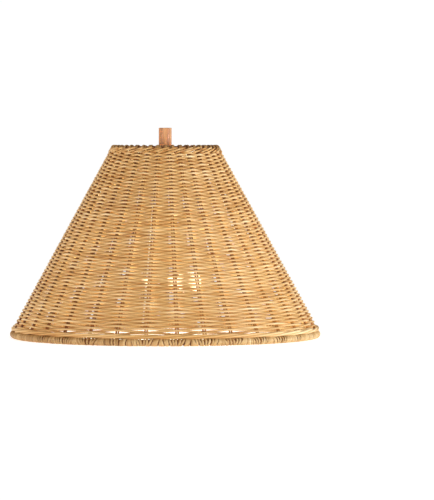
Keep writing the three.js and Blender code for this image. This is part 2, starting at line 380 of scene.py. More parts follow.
# %% [markdown]
# ## The wall's line
#
# Everything woven follows one straight line up the wall, so its lean and its foot are worked out once from
# the frame's boxes. `LINE` is the last part of most rules. It takes `along`, metres up the slope, and
# `off`, metres out from the middle of the wall, and gives a radius and a height.

# %% The wall's line
REED_RADIUS = 0.0013
WEAVER_RADIUS = 0.00154
HALF_WALL = 0.0044  # from the middle of the wall to its face
STAKES = len([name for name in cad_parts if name.startswith("stake_")])
STEP = math.tau / STAKES
FRONT_STAKE = math.radians(3.7)  # azimuth of the stake nearest the front

wall_low, wall_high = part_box("woven_wall")
head_low, head_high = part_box("top_wale")
foot_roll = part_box("bottom_roll")
lean = math.atan((wall_high[0] - head_high[0]) / (head_low[2] - wall_low[2]))
foot_height = (foot_roll[0][2] + foot_roll[1][2]) / 2
outer_radius = wall_high[0] + (wall_low[2] - foot_height) * math.tan(lean)
foot_radius = outer_radius - HALF_WALL / math.cos(lean)


def along_at(height):
    """Metres up the slope at a height."""
    return (height - foot_height) / math.cos(lean)


LINE = [
    ("lean_sine", "SINE", "Lean"),
    ("lean_cosine", "COSINE", "Lean"),
    ("inwards", "MULTIPLY", "along", "lean_sine"),
    ("upwards", "MULTIPLY", "along", "lean_cosine"),
    ("radius", "SUBTRACT", "Foot Radius", "inwards"),
    ("radius", "MULTIPLY_ADD", "off", "lean_cosine", "radius"),
    ("height", "ADD", "Foot Height", "upwards"),
    ("height", "MULTIPLY_ADD", "off", "lean_sine", "height"),
]
LINE_SIZES = {"Lean": lean, "Foot Radius": foot_radius, "Foot Height": foot_height}
print("lean", round(math.degrees(lean), 2), "degrees, foot radius", round(foot_radius, 4))

# %% [markdown]
# ## Hand-spaced stakes
#
# A basket maker sets the stakes by eye, so they aren't quite evenly spaced. The same waves move the stakes
# and every weaver that goes round them, or the two would part company. `HAND` turns an even azimuth into
# that of a hand-set stake. It adds a wave with five beats a turn, one with eleven and one with a single
# beat, none of them more than a degree and a half, and all of them close on themselves after a full turn.

# %% Hand spacing
HAND = [
    ("even", "MULTIPLY_ADD", "stake", STEP, FRONT_STAKE),
    ("slow", "MULTIPLY_ADD", "even", 5.0, 1.9),
    ("slow", "SINE", "slow"),
    ("quick", "MULTIPLY_ADD", "even", 11.0, 0.4),
    ("quick", "SINE", "quick"),
    ("azimuth", "MULTIPLY_ADD", "slow", 0.0075, "even"),
    ("azimuth", "MULTIPLY_ADD", "quick", 0.006, "azimuth"),
    ("behind", "COSINE", "even"),
    ("azimuth", "MULTIPLY_ADD", "behind", -0.012, "azimuth"),
    ("azimuth", "ADD", "azimuth", 0.012),
    ("east", "SINE", "azimuth"),
    ("north", "COSINE", "azimuth"),
]

# %% [markdown]
# ## The weave
#
# This is randing, the plainest weave: one strand goes in front of a stake and behind the next. The count
# of stakes is odd, so when the strand comes round again it goes behind the stakes that it went in front
# of, and no second strand is needed. The strand is therefore one long spiral, which swings out and in
# once every two stakes. The swing is the arcsine of a cosine that is a little too short, which is nearly
# a zigzag: a springy strand runs straight between stakes and bends only as it passes one.
#
# A real weaver rises and falls as it goes round, and is not quite the same thickness all along. Two
# layers of noise move it: `shared` is much the same for neighbouring rows, and `own` is a row's own. The
# noise is taken on the circle (`east`, `north`), so it meets itself at the back.
#
# The colour drifts too, at random. On top of that, light is painted into it. A strand is painted lighter
# where it is out in front of a stake and darker where it passes behind one, as painted highlight and
# painted shade, and it is painted lighter towards the foot and the right side, where the lamps fall on it.
# The first rows are the hardest to beat down, so they lie looser, and the hard bend round the stakes thins
# them. That leaves a short slit beside each stake.

# %% Weave rule
PITCH = 0.00277  # from one row to the next, up the slope
POINTS_PER_STAKE = 10
LIT_FOOT_ROWS = 100.0  # the painted light at the foot runs out at this row
LOOSE_ROWS = 5.0  # the rows that are spread apart at the foot
THIN_ROWS = 6.0  # the rows that are thinner as they pass a stake
WEAVE = [
    ("stake", "DIVIDE", "point", "Points Per Stake"),
    ("stake", "ADD", "stake", "First Stake"),
    *HAND,
    ("row", "DIVIDE", "stake", float(STAKES)),
    # out and in
    ("beat", "ADD", "stake", "Phase"),
    ("beat", "DIVIDE", "beat", "Period"),
    ("beat", "MULTIPLY", "beat", math.tau),
    ("wave", "COSINE", "beat"),
    ("wave", "ADD", "wave", "Bias"),
    ("wave", "MINIMUM", "wave", 1.0),
    ("wave", "MULTIPLY", "wave", "Pull"),
    ("wave", "ARCSINE", "wave"),
    ("most", "ARCSINE", "Pull"),
    ("wave", "DIVIDE", "wave", "most"),
    ("off", "MULTIPLY", "wave", "Swing"),
    # noise round the wall: three broad bumps or nine narrow ones for each radius
    ("east_wide", "MULTIPLY", "east", 3.1),
    ("north_wide", "MULTIPLY", "north", 3.1),
    ("row_slow", "MULTIPLY", "row", 0.21),
    ("shared", "STRAY", "east_wide", "north_wide", "row_slow"),
    ("east_near", "MULTIPLY", "east", 9.0),
    ("north_near", "MULTIPLY", "north", 9.0),
    ("row_fast", "MULTIPLY", "row", 2.7),
    ("own", "STRAY", "east_near", "north_near", "row_fast"),
    ("swell", "NOISE", "north_near", "row_fast", "east_near"),
    # colour, with changes every few stakes and every twenty or so
    ("tone_near", "MULTIPLY", "stake", 0.23),
    ("tone_far", "MULTIPLY", "stake", 0.047),
    ("tone", "NOISE", "tone_far", "tone_near", 0.0),
    ("tone", "MULTIPLY_ADD", "tone", 0.72, 0.15),
    # painted highlight and shade: lighter where the strand is out in front, darker where it is behind
    ("tone", "MULTIPLY_ADD", "wave", 0.14, "tone"),
    # painted light: lighter towards the foot and the right side, where the lamps fall
    ("lit_amount", "DIVIDE", "row", -LIT_FOOT_ROWS),
    ("lit_amount", "ADD", "lit_amount", 1.0),
    ("lit_side", "ADD", "east", 1.3),
    ("lit_amount", "MULTIPLY", "lit_amount", "lit_side"),
    ("tone", "MULTIPLY_ADD", "lit_amount", "Fade", "tone"),
    # thickness
    ("foot", "DIVIDE", "row", -THIN_ROWS),
    ("foot", "ADD", "foot", 1.0),
    ("foot", "MAXIMUM", "foot", 0.0),
    ("thin", "MULTIPLY", "wave", "wave"),
    ("thin", "MULTIPLY", "thin", "foot"),
    ("thin", "MULTIPLY", "thin", "Foot Thinning"),
    ("swell", "SUBTRACT", "swell", "thin"),
    # height up the slope
    ("drift", "MULTIPLY", "shared", "Drift"),
    ("drift", "MULTIPLY_ADD", "own", "Wander", "drift"),
    ("along", "MULTIPLY_ADD", "row", "Pitch", "Start"),
    ("slack", "DIVIDE", "row", LOOSE_ROWS),
    ("slack", "MINIMUM", "slack", 1.0),
    ("along", "MULTIPLY_ADD", "slack", "Loose Foot", "along"),
    ("along", "ADD", "along", "drift"),
    ("rise", "SINE", "beat"),
    ("along", "MULTIPLY_ADD", "rise", "Slant", "along"),
    *LINE,
]
WEAVE_SIZES = {
    **LINE_SIZES,
    "Points Per Stake": POINTS_PER_STAKE,
    "First Stake": 0.0,
    "Period": 2.0,
    "Phase": 0.0,
    "Bias": 0.0,
    "Pull": 0.95,
    "Swing": 0.0022,
    "Slant": 0.0,
    "Loose Foot": 0.0,
    "Foot Thinning": 0.0,
    # painted light on the foot and the right side
    "Fade": 0.03,
    "Drift": 0.0011,
    "Wander": 0.0018,
    "Pitch": PITCH,
    "Start": 0.0,
}
weave_tree = strand_tree("weave", WEAVE_SIZES, WEAVE)

# %% [markdown]
# The wall has about a hundred rows. A length of rattan core is a few metres, so the maker lays in many
# lengths, one after the other. Here the spiral is cut into six pieces, so that no mesh is too heavy, and
# each takes over where the last one stops. The wall starts a little low, down behind the wale, and runs a
# little way up behind the border, so that no gap shows at either.

# %% The woven wall
PIECES = 6
LOOSE_FOOT = 0.0028  # extra height that the loose rows take up
WALE_OVERLAP = 0.0026
BORDER_OVERLAP = 0.0052
wall_start = along_at(wall_low[2]) - WALE_OVERLAP
wall_length = along_at(wall_high[2]) + BORDER_OVERLAP - wall_start
rows = round((wall_length - LOOSE_FOOT) / PITCH)
pitch = (wall_length - LOOSE_FOOT) / rows
stakes_each = math.ceil(rows * STAKES / PIECES)
for number in range(PIECES):
    first = number * stakes_each
    count = min(stakes_each, rows * STAKES - first)
    piece = sweep(
        f"weaver_{number + 1}",
        weave_tree,
        Points=count * POINTS_PER_STAKE + 1,
        Radius=WEAVER_RADIUS,
        Uneven=0.5,
        First_Stake=float(first),
        Pitch=pitch,
        Start=wall_start,
        Loose_Foot=LOOSE_FOOT,
        Foot_Thinning=0.5,
        Material=weaver_rattan,
    )
    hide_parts("woven_wall")
    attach(piece, "shade")
print("rows", rows, "pitch", round(pitch * 1000, 2), "mm")

# %% [markdown]
# ## Stakes
#
# A stake is a pair of reeds. They run from the bottom roll to the top one and lie in the middle of the
# wall, and the weave squeezes them to and fro a little. One tree makes all sixty-six at once: the strand's
# number, halved, gives the stake, and what is left over says which of its two reeds this is. They are
# painted lighter low down and towards the front and the right, as painted light where the lamps fall on
# them.

# %% Stakes
STAKE_RULE = [
    ("stake", "DIVIDE", "strand", 2.0),
    ("side", "FRACT", "stake"),
    ("side", "MULTIPLY_ADD", "side", 4.0, -1.0),  # a half left over gives 1, and none gives -1
    ("stake", "FLOOR", "stake"),
    *HAND,
    ("climb", "MULTIPLY", "share", "Length"),
    ("along", "ADD", "climb", "Start"),
    ("bend", "MULTIPLY", "climb", 70.0),
    ("seed", "MULTIPLY", "strand", 3.7),
    ("sway", "STRAY", "bend", "seed", 0.0),
    ("swell", "NOISE", "seed", "bend", 4.0),
    ("tone", "NOISE", "seed", "share", 8.0),
    # painted light: lighter low down and towards the front and the right
    ("lit_amount", "SUBTRACT", 1.0, "share"),
    ("lit_side", "ADD", "east", "north"),
    ("lit_amount", "MULTIPLY", "lit_amount", "lit_side"),
    ("tone", "MULTIPLY_ADD", "lit_amount", 0.35, "tone"),
    ("off", "IS", 0.0),
    *LINE,
    ("shift", "MULTIPLY", "side", "Half Gap"),
    ("shift", "MULTIPLY_ADD", "sway", 0.0012, "shift"),
    ("turn", "DIVIDE", "shift", "radius"),
    ("azimuth", "ADD", "azimuth", "turn"),
]
STAKE_SIZES = {**LINE_SIZES, "Length": 0.3, "Start": 0.0, "Half Gap": 0.0016}
STAKE_END = 0.001  # how much shorter a reed is than its stake, at each end
stake_tree = strand_tree("stakes", STAKE_SIZES, STAKE_RULE)
stake_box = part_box("stake_01")
stake_start = along_at(stake_box[0][2]) + STAKE_END
stakes = sweep(
    "stake_reeds",
    stake_tree,
    Strands=2 * STAKES,
    Points=60,
    Radius=REED_RADIUS,
    Uneven=0.25,
    Start=stake_start,
    Length=along_at(stake_box[1][2]) - STAKE_END - stake_start,
    Material=painted_shade_stakes,
)
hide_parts(*[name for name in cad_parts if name.startswith("stake_")])
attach(stakes, "shade")

# %% [markdown]
# ## The wale
#
# A wale is a stronger weave with three rods. Each passes in front of two stakes and behind one, and rises
# and falls over the other two as it does, so it shows as long slanting strokes. It locks the foot of the
# wall to the rim. The weave tree makes it too: the beat is three stakes long, the bias keeps the rod in
# front for two of them, and the slant lifts and lowers it as it goes. The rods start at the back, where
# their joins are out of sight.

# %% Wale at the foot
WALE_RODS = 3
WALE_LIFT = 0.0015  # from the foot of its box to the rods' middle, up the slope
low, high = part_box("bottom_wale")
for rod in range(WALE_RODS):
    piece = sweep(
        f"bottom_wale_rod_{rod + 1}",
        weave_tree,
        Points=STAKES * POINTS_PER_STAKE,
        Closed=True,
        First_Stake=float(STAKES // 2),
        Radius=0.0018,
        Uneven=0.35,
        Period=float(WALE_RODS),
        Phase=rod + 0.5,
        Bias=0.5,
        Pull=0.8,
        Swing=0.003,
        Slant=0.0018,
        Drift=0.0006,
        Wander=0.0008,
        Pitch=0.0,
        Start=along_at(low[2]) + WALE_LIFT,
        Material=weaver_rattan,
    )
    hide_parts("bottom_wale")
    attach(piece, "shade")

# %% [markdown]
# The head of the wall ends in a rolled border. Forty short rods start behind the last rows, come out to
# the front, and climb to the right in long strokes, each lying over its neighbours, until they tuck in
# under the winding of the top rim. All of them are one rule and one mesh. `jump` and `lift` are a rod's
# own: the first spaces it by hand, and the second says how high and how far out it lies.

# %% Rolled border at the head
BORDER_RODS = 40
BORDER_LIFT = 0.0016  # from the foot of its box to where the rods start, up the slope
TUCK = 0.2  # share of a rod that dips behind at each end
BORDER_RULE = [
    ("own", "MULTIPLY", "strand", 1.37),
    ("jump", "STRAY", "own", 2.0, 0.0),
    ("azimuth", "DIVIDE", "strand", "Strands"),
    ("azimuth", "MULTIPLY", "azimuth", math.tau),
    ("azimuth", "MULTIPLY_ADD", "jump", 0.16, "azimuth"),
    ("azimuth", "MULTIPLY_ADD", "share", "Reach", "azimuth"),
    ("lift", "STRAY", "own", 7.0, 0.0),
    ("enter", "DIVIDE", "share", TUCK),
    ("enter", "MINIMUM", "enter", 1.0),
    ("leave", "SUBTRACT", 1.0, "share"),
    ("leave", "DIVIDE", "leave", TUCK),
    ("leave", "MINIMUM", "leave", 1.0),
    ("shown", "MULTIPLY", "enter", "leave"),
    ("shown", "MULTIPLY", "shown", math.pi / 2),
    ("shown", "SINE", "shown"),
    ("off", "MULTIPLY_ADD", "shown", "Swing", -0.0016),
    ("off", "MULTIPLY_ADD", "lift", 0.003, "off"),
    ("along", "MULTIPLY_ADD", "share", "Rise", "Start"),
    ("along", "MULTIPLY_ADD", "lift", 0.002, "along"),
    ("seed", "MULTIPLY", "share", 3.0),
    ("tone", "NOISE", "own", "seed", 3.0),
    # painted shade: a rod is darker where it dips behind at its ends and where it lies low and far in
    ("tone", "MULTIPLY_ADD", "shown", 0.5, "tone"),
    ("tone", "MULTIPLY_ADD", "lift", 0.5, "tone"),
    ("tone", "SUBTRACT", "tone", 0.5),
    ("swell", "NOISE", "own", "seed", 9.0),
    *LINE,
]
BORDER_SIZES = {**LINE_SIZES, "Reach": 0.42, "Rise": 0.012, "Start": 0.28, "Swing": 0.0047}
border_tree = strand_tree("rolled_border", BORDER_SIZES, BORDER_RULE)
low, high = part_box("top_wale")
border_start = along_at(low[2]) + BORDER_LIFT
border = sweep(
    "top_border_rods",
    border_tree,
    Strands=BORDER_RODS,
    Points=36,
    Radius=0.0014,
    Uneven=0.4,
    Start=border_start,
    Rise=along_at(eye_level) - border_start,
    Material=weaver_rattan,
)
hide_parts("top_wale")
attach(border, "shade")

# %% [markdown]
# ## Wound rims
#
# Each rim is a bundle of the stake ends laid along the wire ring, with cane wound tightly round it. The
# cane is a coil bent into a circle. Real winding leans over, crowds together in places and parts in
# others, so each turn is leaned and nudged by noise of its own, and a wave bunches the turns into beads.
# On the bottom rim there is one bead between each two stakes, and the winding parts most at the top, where
# a stake comes out of it. Under the winding a few strands run round the rim, in the stakes' dark browns,
# and show as the dark filling, which is painted shade. The bottom winding is painted lighter towards the
# right, as painted light, and the top winding is painted darker all round, as painted shade.

# %% Winding rule
COIL_RULE = [
    # round the rim's section, from the inside over the top to the outside
    ("turn", "MULTIPLY", "share", "Turns"),
    ("spin", "MULTIPLY", "turn", math.tau),
    ("out", "COSINE", "spin"),
    ("out", "MULTIPLY", "out", -1.0),
    ("outer", "ADD", "out", 1.0),
    ("up", "SINE", "spin"),
    ("even", "MULTIPLY", "share", math.tau),
    # a turn's own lean and place
    ("whole", "FLOOR", "turn"),
    ("whole", "MULTIPLY", "whole", 1.37),
    ("lean_own", "STRAY", "whole", 3.0, 0.0),
    ("lean_own", "MULTIPLY_ADD", "lean_own", "Lean Spread", "Lean Over"),
    ("tip", "MULTIPLY", "up", "lean_own"),
    ("nudge", "STRAY", "whole", 13.0, 6.0),
    ("nudge", "MULTIPLY", "nudge", "Nudge"),
    ("nudge", "MULTIPLY", "nudge", "outer"),
    # beads, each parted from the next by an amount of its own
    ("beads", "SUBTRACT", "even", "First Bead"),
    ("beads", "MULTIPLY", "beads", "Beads"),
    ("bunch", "SINE", "beads"),
    ("parted", "MULTIPLY_ADD", "up", "Open Top", 1.0),
    ("bunch", "MULTIPLY", "bunch", "parted"),
    ("bunch", "MULTIPLY", "bunch", "Bunching"),
    ("bead", "DIVIDE", "beads", math.tau),
    ("bead", "FLOOR", "bead"),
    ("bead", "MULTIPLY", "bead", 2.31),
    ("uneven", "NOISE", "bead", 4.0, 9.0),
    ("uneven", "MULTIPLY_ADD", "uneven", 5.0, -1.5),
    ("uneven", "MAXIMUM", "uneven", 0.1),
    ("bunch", "MULTIPLY", "bunch", "uneven"),
    ("azimuth", "ADD", "even", "tip"),
    ("azimuth", "ADD", "azimuth", "nudge"),
    ("azimuth", "SUBTRACT", "azimuth", "bunch"),
    # colour
    ("tone", "NOISE", "whole", 9.0, 0.0),
    # painted shade: the whole winding set darker, used on the top rim
    ("tone", "ADD", "tone", "Age"),
    # painted light: lighter towards the right side
    ("east", "SINE", "even"),
    ("tone", "MULTIPLY_ADD", "east", "Fade", "tone"),
    # distance from the middle of the section
    ("swell", "NOISE", "whole", 5.0, 5.0),
    ("swollen", "COSINE", "beads"),
    ("swollen", "MULTIPLY", "swollen", "Bead Height"),
    ("lift", "STRAY", "whole", 7.0, 2.0),
    ("lift", "MULTIPLY_ADD", "lift", "Lift", "swollen"),
    ("lift", "MULTIPLY", "lift", "outer"),
    ("reach", "ADD", "lift", "Coil Radius"),
    ("radius", "MULTIPLY_ADD", "out", "reach", "Rim Radius"),
    ("height", "MULTIPLY_ADD", "up", "reach", "Rim Height"),
    # the flat cane faces away from the middle of the section
    ("face_x", "SINE", "azimuth"),
    ("face_x", "MULTIPLY", "face_x", "out"),
    ("face_y", "COSINE", "azimuth"),
    ("face_y", "MULTIPLY", "face_y", "out"),
    ("face_y", "MULTIPLY", "face_y", -1.0),
    ("face_z", "IS", "up"),
]
COIL_SIZES = {
    "Turns": 400.0,
    "Rim Radius": 0.2,
    "Rim Height": 0.0,
    "Coil Radius": 0.004,
    "Lean Over": 0.0,
    "Lean Spread": 0.0,
    "Nudge": 0.0,
    "Lift": 0.0009,
    "Beads": 44.0,
    "First Bead": 0.0,
    "Bunching": 0.0,
    "Open Top": 0.0,
    "Bead Height": 0.0,
    "Age": 0.0,
    "Fade": 0.0,
}
coil_tree = strand_tree("winding", COIL_SIZES, COIL_RULE)

# %% Bundle rule
CORE_RULE = [
    ("azimuth", "MULTIPLY", "share", math.tau),
    ("place", "DIVIDE", "strand", "Strands"),
    ("place", "ADD", "place", "share"),
    ("spin", "MULTIPLY", "place", math.tau),
    ("seed", "MULTIPLY", "strand", 5.3),
    ("tone", "NOISE", "seed", "azimuth", 0.0),
    ("swell", "NOISE", "azimuth", "seed", 3.0),
    ("out", "SINE", "spin"),
    ("up", "COSINE", "spin"),
    ("radius", "MULTIPLY_ADD", "out", "Bundle Radius", "Rim Radius"),
    ("height", "MULTIPLY_ADD", "up", "Bundle Radius", "Rim Height"),
]
CORE_SIZES = {"Rim Radius": 0.2, "Rim Height": 0.0, "Bundle Radius": 0.002}
core_tree = strand_tree("rim_bundle", CORE_SIZES, CORE_RULE)

# %% Both rims
CANE_THICKNESS = 0.0014
POINTS_PER_TURN = 14
BOTTOM_WINDING = {
    "Turns": 405.0,
    "Radius": 0.00155,
    "Lean_Over": 0.004,
    "Lean_Spread": 0.022,
    "Nudge": 0.016,
    "Beads": float(STAKES),
    "First_Bead": FRONT_STAKE - STEP / 2,
    "Bunching": 0.009,
    "Open_Top": 0.9,
    # painted light: lighter towards the right
    "Fade": 0.14,
}
TOP_WINDING = {
    "Turns": 154.0,
    "Radius": 0.0016,
    "Lean_Over": 0.012,
    "Lean_Spread": 0.06,
    "Nudge": 0.026,
    "Bunching": 0.011,
    "Bead_Height": 0.001,
    # painted shade: the top winding darker all round
    "Age": -0.18,
}
TOP_INSET = 0.0012  # room for the top winding's beads inside the frame's box
for name, inset, shape in (("bottom_roll", 0.0, BOTTOM_WINDING), ("top_roll", TOP_INSET, TOP_WINDING)):
    low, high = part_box(name)
    roll = (high[2] - low[2]) / 2
    place = {"Rim_Radius": high[0] - roll - inset, "Rim_Height": (high[2] + low[2]) / 2}
    winding = sweep(
        f"{name}_winding",
        coil_tree,
        Points=int(shape["Turns"]) * POINTS_PER_TURN,
        Closed=True,
        Flatness=CANE_THICKNESS / 2 / shape["Radius"],
        Uneven=0.3,
        Coil_Radius=roll - CANE_THICKNESS / 2,
        Material=wrap_cane,
        **shape,
        **place,
    )
    bundle = sweep(
        f"{name}_bundle",
        core_tree,
        Strands=6,
        Points=240,
        Closed=True,
        Sides=7,
        Radius=roll * 0.3,
        Uneven=0.3,
        Bundle_Radius=roll * 0.48,
        Material=painted_shade_stakes,
        **place,
    )
    for piece, finish in ((winding, "wrap_cane"), (bundle, "rattan_stakes")):
        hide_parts(name)
        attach(piece, "shade")

# %% [markdown]
# ## Wire frame
#
# The frame is mild steel wire, straightened, cut, butt-welded and dipped in a thin off-white lacquer. Wire
# is a strand like any other, so the same recipe sweeps the six ribs and the three arms. The lacquer is
# smooth but not even: it pools in places a few millimetres wide, and its thin spots let the grey steel
# through. The two rings keep the frame's own meshes, which are wound over and hardly show.

# %% Lacquered steel
RIB_INWARD = 0.0063  # from the middle of the wall in to a rib
RIB_RADIUS = 0.00125
FIRST_RIB = FRONT_STAKE + STEP / 2
ARM_RADIUS = 0.0016

lacquer, tree, shader = new_material("lacquered_steel_wire")
place = add(tree, "ShaderNodeTexCoord")
pools = add(
    tree,
    "ShaderNodeTexNoise",
    {"Vector": place.outputs["Object"], "Scale": 420.0, "Detail": 4.0, "Roughness": 0.6},
)
coat = add(tree, "ShaderNodeValToRGB", {"Fac": pools.outputs["Fac"]})
set_ramp(coat, [(0.28, "#8F8A80"), (0.42, "#D6D0C2"), (0.75, "#E6E1D5")])
satin = add(tree, "ShaderNodeMapRange", {"Value": pools.outputs["Fac"], "To Min": 0.3, "To Max": 0.55})
sag = add(tree, "ShaderNodeBump", {"Height": pools.outputs["Fac"], "Strength": 0.4, "Distance": 0.00006})
tree.links.new(coat.outputs["Color"], shader.inputs["Base Color"])
tree.links.new(satin.outputs["Result"], shader.inputs["Roughness"])
tree.links.new(sag.outputs["Normal"], shader.inputs["Normal"])

# %% Ribs and arms
PLAIN = [("tone", "IS", 0.5), ("swell", "IS", 0.5)]
RIB_RULE = [
    *PLAIN,
    ("azimuth", "DIVIDE", "strand", "Strands"),
    ("azimuth", "MULTIPLY_ADD", "azimuth", math.tau, FIRST_RIB),
    ("off", "MULTIPLY", "Inward", -1.0),
    ("along", "MULTIPLY_ADD", "share", "Length", "Start"),
    *LINE,
]
RIB_SIZES = {**LINE_SIZES, "Inward": RIB_INWARD, "Length": 0.3, "Start": 0.0}
rib_tree = strand_tree("ribs", RIB_SIZES, RIB_RULE)
rib_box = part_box("frame_rib_01")
rib_start = along_at(rib_box[0][2] + RIB_INWARD * math.sin(lean))
rib_end = along_at(rib_box[1][2] + RIB_INWARD * math.sin(lean))
ribs = sweep(
    "frame_ribs",
    rib_tree,
    Strands=6,
    Points=2,
    Sides=14,
    Radius=RIB_RADIUS,
    Start=rib_start,
    Length=rib_end - rib_start,
    Material=lacquer,
)
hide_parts(*[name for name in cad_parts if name.startswith("frame_rib")])

# An arm leaves the top ring level, dips and arrives at the hub level: a smooth step in height. Its radius
# is a cubic curve, whose two handles are at these shares of the outer end's radius.
FIRST_HANDLE = 0.62
SECOND_HANDLE = 0.55
ARM_RULE = [
    *PLAIN,
    ("azimuth", "DIVIDE", "strand", "Strands"),
    ("azimuth", "MULTIPLY_ADD", "azimuth", math.tau, math.pi),
    ("rest", "SUBTRACT", 1.0, "share"),
    ("square", "MULTIPLY", "share", "share"),
    ("cube", "MULTIPLY", "square", "share"),
    ("rest_square", "MULTIPLY", "rest", "rest"),
    ("rest_cube", "MULTIPLY", "rest_square", "rest"),
    ("drop", "MULTIPLY", "square", 3.0),
    ("drop", "MULTIPLY_ADD", "cube", -2.0, "drop"),
    ("height", "MULTIPLY", "drop", "Drop"),
    ("height", "SUBTRACT", "Ring Height", "height"),
    ("near", "MULTIPLY", "rest_square", "share"),
    ("near", "MULTIPLY", "near", 3 * FIRST_HANDLE),
    ("far", "MULTIPLY", "square", "rest"),
    ("far", "MULTIPLY_ADD", "far", 3 * SECOND_HANDLE, "near"),
    ("far", "ADD", "far", "rest_cube"),
    ("radius", "MULTIPLY", "far", "Outer End"),
    ("radius", "MULTIPLY_ADD", "cube", "Inner End", "radius"),
]
arm_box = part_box("fitter_arm_01")
hub_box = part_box("fitter_hub")
hub_radius = (hub_box[1][0] - hub_box[0][0]) / 2
ARM_SIZES = {"Outer End": 0.07, "Inner End": 0.013, "Ring Height": 0.28, "Drop": 0.013}
arm_tree = strand_tree("arms", ARM_SIZES, ARM_RULE)
arms = sweep(
    "fitter_arms",
    arm_tree,
    Strands=3,
    Points=40,
    Sides=16,
    Radius=ARM_RADIUS,
    Outer_End=arm_box[1][1],
    Inner_End=hub_radius,
    Ring_Height=arm_box[1][2] - ARM_RADIUS,
    Drop=arm_box[1][2] - arm_box[0][2] - 2 * ARM_RADIUS,
    Material=lacquer,
)
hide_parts(*[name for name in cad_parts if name.startswith("fitter_arm")])
for piece in (ribs, arms):
    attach(piece, "shade")
for name in ("bottom_ring", "top_ring"):
    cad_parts[name].data.materials.clear()
    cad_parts[name].data.materials.append(lacquer)

# %% [markdown]
# ## Turned parts
#
# The hub, the washer, the insert and the finial are all round, so each is a closed outline turned about the
# axis. Every corner of an outline gets a small round of its own, because a real edge is never sharp and it
# is the round that catches the light.

# %% Turning
TURN_STEPS = 64


def round_corners(outline, rounding, steps=4):
    """A closed outline with every corner rounded by a short arc through it."""
    points = []
    count = len(outline)
    for i, corner in enumerate(outline):
        corner = Vector(corner)
        before = (Vector(outline[i - 1]) - corner).normalized() * rounding
        after = (Vector(outline[(i + 1) % count]) - corner).normalized() * rounding
        for step in range(steps + 1):
            share = step / steps
            points.append(corner + before * (1 - share) ** 2 + after * share**2)
    return points


def turned(name, outline, material, rounding):
    """A closed outline of radius and height pairs, turned about the axis into one solid."""
    points = round_corners(outline, rounding)
    azimuths = [step * math.tau / TURN_STEPS for step in range(TURN_STEPS)]
    vertices = [(r * math.sin(a), -r * math.cos(a), z) for a in azimuths for r, z in points]
    count = len(points)
    faces = [
        (a * count + p, a * count + q, b * count + q, b * count + p)
        for a in range(TURN_STEPS)
        for b in [(a + 1) % TURN_STEPS]
        for p in range(count)
        for q in [(p + 1) % count]
    ]
    mesh = bpy.data.meshes.new(name)
    mesh.from_pydata(vertices, [], faces)
    mesh.materials.append(material)
    shape = bmesh.new()
    shape.from_mesh(mesh)
    bmesh.ops.remove_doubles(shape, verts=shape.verts, dist=1e-6)
    bmesh.ops.dissolve_degenerate(shape, edges=shape.edges, dist=1e-6)
    bmesh.ops.recalc_face_normals(shape, faces=shape.faces)
    for face in shape.faces:
        face.smooth = True
    shape.to_mesh(mesh)
    shape.free()
    made = bpy.data.objects.new(name, mesh)
    bpy.context.scene.collection.objects.link(made)
    print(name, len(mesh.polygons), "faces")
    return made


def tube_outline(box, inner):
    """The outline of a tube that fills a CAD node's box, with a hole of the given radius."""
    outer = (box[1][0] - box[0][0]) / 2
    return [(inner, box[0][2]), (outer, box[0][2]), (outer, box[1][2]), (inner, box[1][2])]


# %% [markdown]
# ## Brass and beech
#
# Brass shows the fine rings that the lathe tool leaves, a fifth of a millimetre apart, and a faint stain.
# Beech is pinkish tan, straight and close grained. Broad bands from the growth rings run up it, 4 to 7 mm
# wide. Pores of 0.4 mm by 17 mm follow them, and the rays are short dark flecks, 0.7 mm by 3 mm. Each is
# noise on the object's own coordinates, stretched along the grain.

# %% Brass and beech materials
# Turned brass: a bright metal whose tool rings spread the highlight across the turning.
TOOL_RINGS = 31000.0  # radians of the rings' wave for each metre

brass, tree, shader = new_material("turned_brass")
place = add(tree, "ShaderNodeTexCoord")
across = add(tree, "ShaderNodeSeparateXYZ", {0: place.outputs["Object"]})
values = {"z": across.outputs["Z"]}
work_out(tree, values, [("rings", "MULTIPLY", "z", TOOL_RINGS), ("rings", "SINE", "rings")])
stain = add(
    tree, "ShaderNodeTexNoise", {"Vector": place.outputs["Object"], "Scale": 300.0, "Detail": 3.0}
)
metal = add(tree, "ShaderNodeValToRGB", {"Fac": stain.outputs["Fac"]})
set_ramp(metal, [(0.3, "#B98A3E"), (0.7, "#DDB25C")])
cut = add(tree, "ShaderNodeBump", {"Height": values["rings"], "Strength": 0.15, "Distance": 0.00002})
worn = add(tree, "ShaderNodeMapRange", {"Value": stain.outputs["Fac"], "To Min": 0.2, "To Max": 0.4})
shader.inputs["Metallic"].default_value = 1.0
tree.links.new(metal.outputs["Color"], shader.inputs["Base Color"])
tree.links.new(cut.outputs["Normal"], shader.inputs["Normal"])
tree.links.new(worn.outputs["Result"], shader.inputs["Roughness"])

# Oiled beech, sanded smooth: a satin wood, a little duller in its pores.
beech, tree, shader = new_material("oiled_beech")
place = add(tree, "ShaderNodeTexCoord")
bands = add(
    tree, "ShaderNodeMapping", {"Vector": place.outputs["Object"], "Scale": (230.0, 150.0, 6.0)}
)
bands = add(tree, "ShaderNodeTexNoise", {"Vector": bands.outputs[0], "Scale": 1.0, "Detail": 2.0})
pores = add(
    tree, "ShaderNodeMapping", {"Vector": place.outputs["Object"], "Scale": (2600.0, 2600.0, 60.0)}
)
pores = add(tree, "ShaderNodeTexNoise", {"Vector": pores.outputs[0], "Scale": 1.0, "Detail": 3.0})
flecks = add(
    tree, "ShaderNodeMapping", {"Vector": place.outputs["Object"], "Scale": (1500.0, 1500.0, 330.0)}
)
flecks = add(tree, "ShaderNodeTexVoronoi", {"Vector": flecks.outputs[0], "Scale": 1.0})
marks = add(tree, "ShaderNodeMapRange", {"Value": flecks.outputs["Distance"], "From Max": 0.22})
